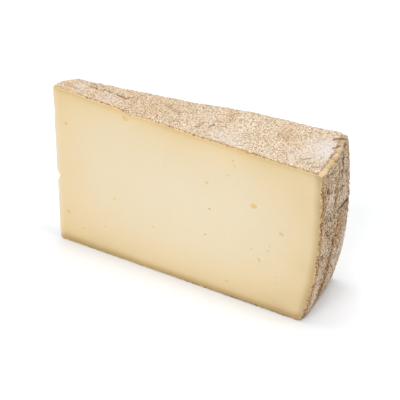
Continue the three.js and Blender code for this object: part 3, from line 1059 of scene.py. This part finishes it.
TOP_STOPS = [
    (0.08, srgb(116, 80, 40)),
    (0.26, srgb(180, 148, 104)),
    (0.4, srgb(212, 190, 159)),
    (0.62, srgb(218, 200, 174)),
    (0.8, srgb(228, 216, 199)),
    (0.95, srgb(236, 231, 226)),
]
TOP_BLOOM = srgb(216, 210, 204)
TOP_SPECK = srgb(92, 56, 22)
TOP_TAN = srgb(196, 158, 116)


def top_colour(tree, crust):
    """Cells of tan and whitish crust, with a bloom, dark specks and a few tan patches over them."""
    tone = tree.total((tree.cell_tone(crust.spot, 3.6), 0.88), (crust.fine, 0.15), -0.01)
    tone = tree.total(tone, (crust.wide, 0.15), (crust.middle, 0.12), (crust.height, 0.05))
    colour = tree.ramp(tree.total(tone, (crust.brown, -0.06)), TOP_STOPS)
    colour = tree.over(colour, TOP_BLOOM, crust.white, 0.6)
    colour = tree.over(colour, TOP_SPECK, tree.specks(crust.spot, scale=2.4, share=0.38, size=0.38), 0.95)
    return tree.over(colour, TOP_TAN, crust.brown, 0.3)


print(len(TOP_STOPS), "tones of crust on the top, specked")

# %% The crust of the heel
HEEL_STOPS = [
    (0.1, srgb(72, 42, 16)),
    (0.28, srgb(132, 93, 50)),
    (0.42, srgb(203, 171, 132)),
    (0.6, srgb(218, 192, 161)),
    (0.75, srgb(231, 211, 191)),
    (0.92, srgb(237, 226, 214)),
]
HEEL_BLOOM = srgb(222, 206, 190)
HEEL_SPECK = srgb(66, 42, 20)
HEEL_FINE_SPECK = srgb(56, 34, 14)
HEEL_TAN = srgb(176, 130, 78)
LONG_FIBRE, SHORT_FIBRE = 3.5, 1.6


def heel_colour(tree, crust):
    """Cells of crust drawn out into fibres, with specks of two kinds, a bloom and warm patches."""
    long_spot, tall_spot = [tree.fibres(crust.spot, stretch) for stretch in (LONG_FIBRE, SHORT_FIBRE)]
    streaks = tree.swing(long_spot, 1.4, 3, 0.65, 0.3)
    tone = tree.total((tree.cell_tone(tall_spot, 2.4), 0.65), (crust.fine, 0.2), 0.1, (streaks, 0.55))
    tone = tree.total(tone, (crust.height, 0.1), (tree.less(crust.white, crust.brown), 0.14))
    colour = tree.ramp(tone, HEEL_STOPS)
    colour = tree.over(colour, HEEL_SPECK, tree.specks(crust.spot, scale=1.6, share=0.3, size=0.42), 0.95)
    colour = tree.over(colour, HEEL_FINE_SPECK, tree.specks(tall_spot, scale=1.4, share=0.34, size=0.42))
    colour = tree.over(colour, HEEL_BLOOM, crust.white, 0.3)
    warm = tree.remap(tree.total((crust.middle, 0.8), (crust.brown, 0.45)), 0.04, 0.34)
    return tree.over(colour, HEEL_TAN, warm, 0.55)


print(len(HEEL_STOPS), "tones of crust on the heel, in fibres", LONG_FIBRE, "times as long as wide")

# %% [markdown]
# ## Where the rind was cut and rubbed
# Along a cut the knife tore the crust, which leaves a thin brown seam and, on the heel, a darker band.
# Along the heel's rim a strip of crust has come off. The ochre ridge under it shows, with a broken
# brown line on each side. Both are laid over the crust's colour by distances that the points carry, so
# they follow the real edges of the form and need no painting.

# %% The seam at the cuts
NEAR_CUT_TINT = (0.9, 0.79, 0.6, 1)
SEAM_STOPS = [(0.12, srgb(104, 70, 36)), (0.4, srgb(170, 128, 78)), (0.8, srgb(208, 172, 124))]
# How far from a cut, in mm, the dark band and the seam begin and are full
BAND_EDGE = (2.4, 1.4)
SEAM_EDGE = (0.9, 0.5)


def with_seam(tree, crust, colour):
    """Darkens the heel's crust near a cut, and draws the thin brown seam right at it."""
    from_cut = tree.total(attribute(tree, "from_cut"), (crust.middle, 1.2))
    close = tree.times(tree.remap(from_cut, *BAND_EDGE), crust.heel)
    colour = tree.tinted(colour, tree.mix(close, NO_CHANGE, NEAR_CUT_TINT))
    wider = tree.times(to_heel(tree, crust.spot), tree.less(1.0, crust.heel))
    seam = tree.remap(tree.total(from_cut, (wider, -0.4)), *SEAM_EDGE)
    seam = tree.times(seam, tree.blend(crust.heel, 0.8, 0.3))
    seam = tree.times(seam, tree.remap(attribute(tree, "chip"), 0.6, 0.2, 0.3, 1.0))
    return tree.over(colour, tree.ramp(tree.cell_tone(crust.spot, 1.7), SEAM_STOPS), seam)


print(len(SEAM_STOPS), "tones of brown in the seam")

# %% The bare ridge along the heel's rim
RIDGE_STOPS = [(0.2, srgb(139, 105, 68)), (0.36, srgb(202, 174, 134)), (0.66, srgb(222, 198, 167))]
FAR_RIDGE_TINT = (0.84, 0.86, 0.94, 1)
RIDGE_PALE = srgb(219, 194, 162)
RIDGE_FURROW = srgb(104, 72, 40)
RIDGE_BORDER = srgb(118, 80, 46)
# Where across the wedge, in mm, the ridge turns bluish on the far side and pale at the near corner
FAR_SIDE = (-6, 9)
NEAR_CORNER = (-11.5, -15)


def with_ridge(tree, crust, colour):
    """Lays the bare ochre ridge over the crust, with a broken brown line along its sides."""
    across = axis(tree, crust.spot, 1)
    tone = tree.total((crust.fine, 0.6), (tree.cell_tone(crust.spot, 1.1), 0.25), (crust.middle, 0.5))
    far_tint = tree.mix(tree.remap(across, *FAR_SIDE), NO_CHANGE, FAR_RIDGE_TINT)
    ridge = tree.tinted(tree.ramp(tone, RIDGE_STOPS), far_tint)
    ridge = tree.over(ridge, RIDGE_PALE, tree.remap(across, *NEAR_CORNER), 0.55)
    ridge = tree.over(ridge, RIDGE_FURROW, crust.furrow, 0.95)
    colour = tree.over(colour, ridge, attribute(tree, "bare"))
    broken = tree.remap(tree.noise(crust.spot, 1.1, 2), 0.42, 0.56)
    border = tree.times(attribute(tree, "rim_line"), broken)
    return tree.over(colour, RIDGE_BORDER, border, 0.8)


print(len(RIDGE_STOPS), "tones of ochre on the ridge")

# %% The material of the rind
PIT_ON_TOP = srgb(104, 70, 36)
PIT_ON_HEEL = srgb(60, 36, 14)
RIND_GLOSS = 0.04


def rind_material():
    material, tree = new_material("mottled_rind")
    crust = Crust(tree)
    colour = tree.over(top_colour(tree, crust), heel_colour(tree, crust), crust.heel)
    pit = tree.times(attribute(tree, "pit"), tree.blend(crust.heel, 0.4, 0.6))
    hollow = tree.math("MAXIMUM", pit, crust.furrow)
    colour = tree.over(colour, tree.mix(crust.heel, PIT_ON_TOP, PIT_ON_HEEL), hollow, 0.95)
    colour = with_ridge(tree, crust, with_seam(tree, crust, colour))
    roughness = tree.spread(crust.fine, 0.75, 0.95)
    bump = tree.add("ShaderNodeBump", None, {"Strength": 0.3, "Distance": 0.0003, "Height": crust.fine})
    linked = {"Base Color": colour, "Roughness": roughness, "Normal": bump.outputs[0]}
    principled(material, linked, {"Specular IOR Level": RIND_GLOSS})
    return material


rind = rind_material()
print("made", rind.name)

# %% [markdown]
# ## The relief of the rind
# The crust is lumps, finer wrinkles on them, round pits and a few long furrows. This follows a surface
# everywhere, which is what Geometry Nodes are for: the tree reads each point's place, adds up the
# heights, stores them for the material and moves the point along its stored outward direction. The base
# may only be pressed in, never out, so that the wedge still stands flat: `ceiling` holds it to that.
# Along the cuts small nibbles are taken out, which gives the sharp edges their torn look.

# %% Marks of the crust that its colour follows too
def group_with_inputs(name, inputs):
    group = bpy.data.node_groups.new(name, "GeometryNodeTree")
    group.interface.new_socket("Geometry", in_out="INPUT", socket_type="NodeSocketGeometry")
    group.interface.new_socket("Geometry", in_out="OUTPUT", socket_type="NodeSocketGeometry")
    for label, kind, value in inputs:
        socket = group.interface.new_socket(label, in_out="INPUT", socket_type=kind)
        if value is not None:
            socket.default_value = value
    tree = Tree(group)
    return group, tree, tree.add("NodeGroupInput"), tree.add("NodeGroupOutput")


def named(tree, name, kind="FLOAT"):
    inputs = {"Name": name}
    return tree.add("GeometryNodeInputNamedAttribute", {"data_type": kind}, inputs).outputs["Attribute"]


def store(tree, geometry, name, value):
    node = tree.add("GeometryNodeStoreNamedAttribute", {"data_type": "FLOAT", "domain": "POINT"}, {
        "Geometry": geometry, "Name": name, "Value": value,
    })
    return node.outputs["Geometry"]


RELIEF_SIZES = {
    "Lump Height": 0.3, "Lump Size": 5.0, "Crust Height": 0.15, "Crust Size": 1.2,
    "Grain Height": 0.12, "Grain Size": 0.55, "Streak Height": 0.3, "Pit Depth": 0.3, "Pit Size": 1.3,
    "Furrow Depth": 0.55, "Edge Nibble": 0.4, "Rim Width": RIDGE_WIDTH, "Cut Wave": 0.12,
}


def crust_marks(tree, spot, sizes):
    """The heights and hollows of the crust that the rind's material follows too."""
    crust = tree.swing(spot, tree.math("DIVIDE", 1.0, sizes["Crust Size"]), 2, 0.55, 0.2)
    grain = tree.swing(spot, tree.math("DIVIDE", 1.0, sizes["Grain Size"]), 1)
    from_middle, _ = tree.cells(spot, tree.math("DIVIDE", 1.0, sizes["Pit Size"]))
    crowd = tree.remap(tree.noise(spot, 0.25, 2), 0.3, 0.7, 0.08, 0.36)
    pit = tree.remap(tree.less(crowd, from_middle), -0.1, 0.12)
    ragged = tree.spread(tree.noise(spot, 0.8, 3, 0.6), 0.5, 1.5)
    furrow = tree.math("MINIMUM", tree.times(named(tree, "furrow"), ragged), 1.0)
    border = tree.spread(tree.noise(spot, 0.5, 3, 0.6), -0.9, 0.9)
    inside_ridge = tree.less(sizes["Rim Width"], tree.math("ADD", named(tree, "from_rim"), border))
    from_border = tree.math("ABSOLUTE", tree.math("ADD", inside_ridge, 0.1))
    marks = {
        "height": tree.total(0.5, crust, (grain, 0.3)), "pit": pit, "furrow": furrow,
        "bare": tree.remap(inside_ridge, -0.15, 0.2), "rim_line": tree.remap(from_border, 0.6, 0.25),
    }
    return crust, grain, marks


print(len(RELIEF_SIZES), "named sizes steer the relief")

# %% The height of the relief
CALM_ON_RIDGE = 0.75
STRONGER_ON_HEEL = 1.2
BLOOM_HEIGHT, RIDGE_HEIGHT = 0.1, 0.2
NIBBLE_REACH = 2.2


def relief_height(tree, spot, sizes, crust, grain, marks):
    """How far each point moves outwards, in millimetres."""
    streak = tree.swing(tree.fibres(spot, LONG_FIBRE), 1.2, 3, 0.6, 0.5)
    streak = tree.times(streak, tree.times(sizes["Streak Height"], named(tree, "heel")))
    small = tree.total((crust, sizes["Crust Height"]), (grain, sizes["Grain Height"]), streak)
    small = tree.total(small, (named(tree, "white"), BLOOM_HEIGHT))
    small = tree.less(small, tree.times(marks["pit"], sizes["Pit Depth"]))
    calm = tree.less(1.0, tree.times(marks["bare"], CALM_ON_RIDGE))
    small = tree.times(small, tree.times(calm, tree.total(1.0, (named(tree, "heel"), STRONGER_ON_HEEL))))
    lump = tree.swing(spot, tree.math("DIVIDE", 1.0, sizes["Lump Size"]), 2)
    total = tree.total((lump, tree.times(sizes["Lump Height"], 2.0)), small, (marks["bare"], RIDGE_HEIGHT))
    total = tree.less(total, tree.times(marks["furrow"], sizes["Furrow Depth"]))
    nibble = tree.remap(tree.noise(spot, 0.8, 2), 0.48, 0.64)
    nibble = tree.times(nibble, tree.remap(named(tree, "from_cut"), NIBBLE_REACH, 1.0))
    total = tree.less(total, tree.times(nibble, sizes["Edge Nibble"]))
    return tree.math("MINIMUM", total, named(tree, "ceiling"))


print("the ridge stands", RIDGE_HEIGHT, "mm out, and nibbles reach", NIBBLE_REACH, "mm from a cut")

# %% [markdown]
# ## One tree from point to finished wedge
# The tree stores the marks, moves every point along its own direction by its own height, gives the cut
# faces their slow wave, and sets the two materials by the mark on each face. Its sizes are named inputs,
# so a reader can try others in the modifier's panel. The wedge is then made into a plain mesh.

# %% The tree that raises the rind
def relief_group():
    sockets = [(label, "NodeSocketFloat", value) for label, value in RELIEF_SIZES.items()]
    sockets += [(label, "NodeSocketMaterial", None) for label in ("Paste", "Rind")]
    group, tree, start, end = group_with_inputs("rind_relief", sockets)
    sizes = start.outputs
    spot = tree.vector("SCALE", tree.add("GeometryNodeInputPosition").outputs[0], scale=1 / MM)
    crust, grain, marks = crust_marks(tree, spot, sizes)
    geometry = sizes["Geometry"]
    for name, value in marks.items():
        geometry = store(tree, geometry, name, value)

    height = relief_height(tree, spot, sizes, crust, grain, marks)
    height = tree.times(tree.times(height, named(tree, "relief")), MM)
    move = tree.vector("SCALE", named(tree, "relief_way", "FLOAT_VECTOR"), scale=height)
    wave = tree.times(tree.swing(spot, 0.06, 3, 0.45), tree.times(sizes["Cut Wave"], 2 * MM))
    wave = tree.times(wave, named(tree, "cut"))
    sway = tree.vector("SCALE", named(tree, "cut_way", "FLOAT_VECTOR"), scale=wave)
    moved = tree.add("GeometryNodeSetPosition", None, {
        "Geometry": geometry, "Offset": tree.vector("ADD", move, sway),
    })
    real = tree.add("GeometryNodeRealizeInstances", None, {"Geometry": moved.outputs[0]})
    plain = tree.add("GeometryNodeSetMaterial", None, {
        "Geometry": real.outputs[0], "Material": sizes["Paste"],
    })
    dressed = tree.add("GeometryNodeSetMaterial", None, {
        "Geometry": plain.outputs[0], "Selection": named(tree, "is_rind", "BOOLEAN"),
        "Material": sizes["Rind"],
    })
    tree.tree.links.new(dressed.outputs[0], end.inputs[0])
    return group


relief = relief_group()
print(len(relief.nodes), "nodes in the tree")

# %% Run the tree on the mesh
def evaluate(name, mesh, group, sizes):
    """Runs a node group on a mesh with the given input sizes, and returns the plain result."""
    carrier = bpy.data.objects.new(name, mesh)
    bpy.context.scene.collection.objects.link(carrier)
    modifier = carrier.modifiers.new(group.name, "NODES")
    modifier.node_group = group
    for item in group.interface.items_tree:
        if item.in_out == "INPUT" and item.name in sizes:
            modifier[item.identifier] = sizes[item.name]
    bpy.context.view_layer.update()
    evaluated = carrier.evaluated_get(bpy.context.evaluated_depsgraph_get())
    result = bpy.data.meshes.new_from_object(evaluated)
    carrier.modifiers.clear()
    carrier.data = result
    return carrier


wedge = evaluate("cheese_wedge", wedge_mesh, relief, {"Paste": paste, "Rind": rind})
print(len(wedge.data.polygons), "faces in the finished wedge")

# %% [markdown]
# ## The camera, the floor and the light
# The camera stands a little more than a metre away and looks down at the wedge with a long lens, as a
# product photographer would, so the lines hardly converge. The floor is a plain white sheet in white
# surroundings. Five large soft lights share the work: three hang nearly overhead, so that the shadows
# stay short, one stands in front of the cut face, and a low one behind reaches the hidden face without
# throwing a shadow that shows. The floor is a touch blue, because the cheese throws warm light onto it.

# %% Camera
VIEW_TURN = np.radians(24.083)
VIEW_DOWN = np.radians(35.364)
VIEW_DISTANCE = 1086.7
AIM = (68.06, -0.59, 37.71)
LENS, SENSOR = 225, 36
right = Vector((np.cos(VIEW_TURN), np.sin(VIEW_TURN), 0))
back = Vector((
    np.sin(VIEW_TURN) * np.cos(VIEW_DOWN),
    -np.cos(VIEW_TURN) * np.cos(VIEW_DOWN),
    np.sin(VIEW_DOWN),
))
up = back.cross(right)
camera_data = bpy.data.cameras.new("camera")
camera_data.lens = LENS
camera_data.sensor_width = SENSOR
camera = bpy.data.objects.new("camera", camera_data)
bpy.context.scene.collection.objects.link(camera)
eye_place = Vector(to_frame([AIM])[0]) + back * VIEW_DISTANCE * MM
turn = Matrix((right, up, back)).transposed().to_4x4()
camera.matrix_world = Matrix.Translation(eye_place) @ turn
bpy.context.scene.camera = camera
print("camera at", [round(c, 3) for c in eye_place])

# %% Floor, surroundings and light
REACH = 4.0
FLOOR_WHITE = (0.868, 0.886, 0.91, 1)
SURROUND_STRENGTH = 0.41
floor_mesh = bpy.data.meshes.new("floor")
corners = [(-REACH, -REACH, 0), (REACH, -REACH, 0), (REACH, REACH, 0), (-REACH, REACH, 0)]
floor_mesh.from_pydata(corners, [], [(0, 1, 2, 3)])
floor = bpy.data.objects.new("floor", floor_mesh)
bpy.context.scene.collection.objects.link(floor)
white, _ = new_material("white_floor")
white_shader = white.node_tree.nodes["Principled BSDF"]
white_shader.inputs["Base Color"].default_value = FLOOR_WHITE
white_shader.inputs["Roughness"].default_value = 0.9
white_shader.inputs["Specular IOR Level"].default_value = 0.0
floor_mesh.materials.append(white)

world = bpy.data.worlds.new("studio")
bpy.context.scene.world = world
world.use_nodes = True
surround = world.node_tree.nodes["Background"]
surround.inputs["Color"].default_value = NO_CHANGE
surround.inputs["Strength"].default_value = SURROUND_STRENGTH
bpy.context.scene.view_settings.view_transform = "Standard"
print("a floor of", 2 * REACH, "m and white surroundings")

# %% Lights
LIGHT_SIZE = 0.62
LIGHT_AIM = Vector((0, 0, 0.04))


def soft_light(name, place_at, power):
    """A square soft light at a place in metres, turned to the wedge, with its power in watts."""
    data = bpy.data.lights.new(name, "AREA")
    data.shape = "SQUARE"
    data.size = LIGHT_SIZE
    data.energy = power
    lamp = bpy.data.objects.new(name, data)
    lamp.location = place_at
    lamp.rotation_euler = (LIGHT_AIM - Vector(place_at)).to_track_quat("-Z", "Y").to_euler()
    bpy.context.scene.collection.objects.link(lamp)


soft_light("above right", (0.64, 0, 1.38), 6.5)
soft_light("above back", (0, 0.2, 1.52), 5.1)
soft_light("above left", (-0.3, 0, 1.5), 4.0)
soft_light("front", (0, -1.06, 1.1), 8.0)
soft_light("low behind", (0, 1.4, 0.5), 2.3)
print("five soft lights, each", LIGHT_SIZE, "m wide")

# %% [markdown]
# ## Say what the piece is
# The wedge belongs to the root body and takes the place of the packed solid.

# %% Say what the piece is
for piece in [wedge]:
    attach(piece, "root")
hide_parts("cheese")
print(wedge.name, "takes the place of the packed cheese")
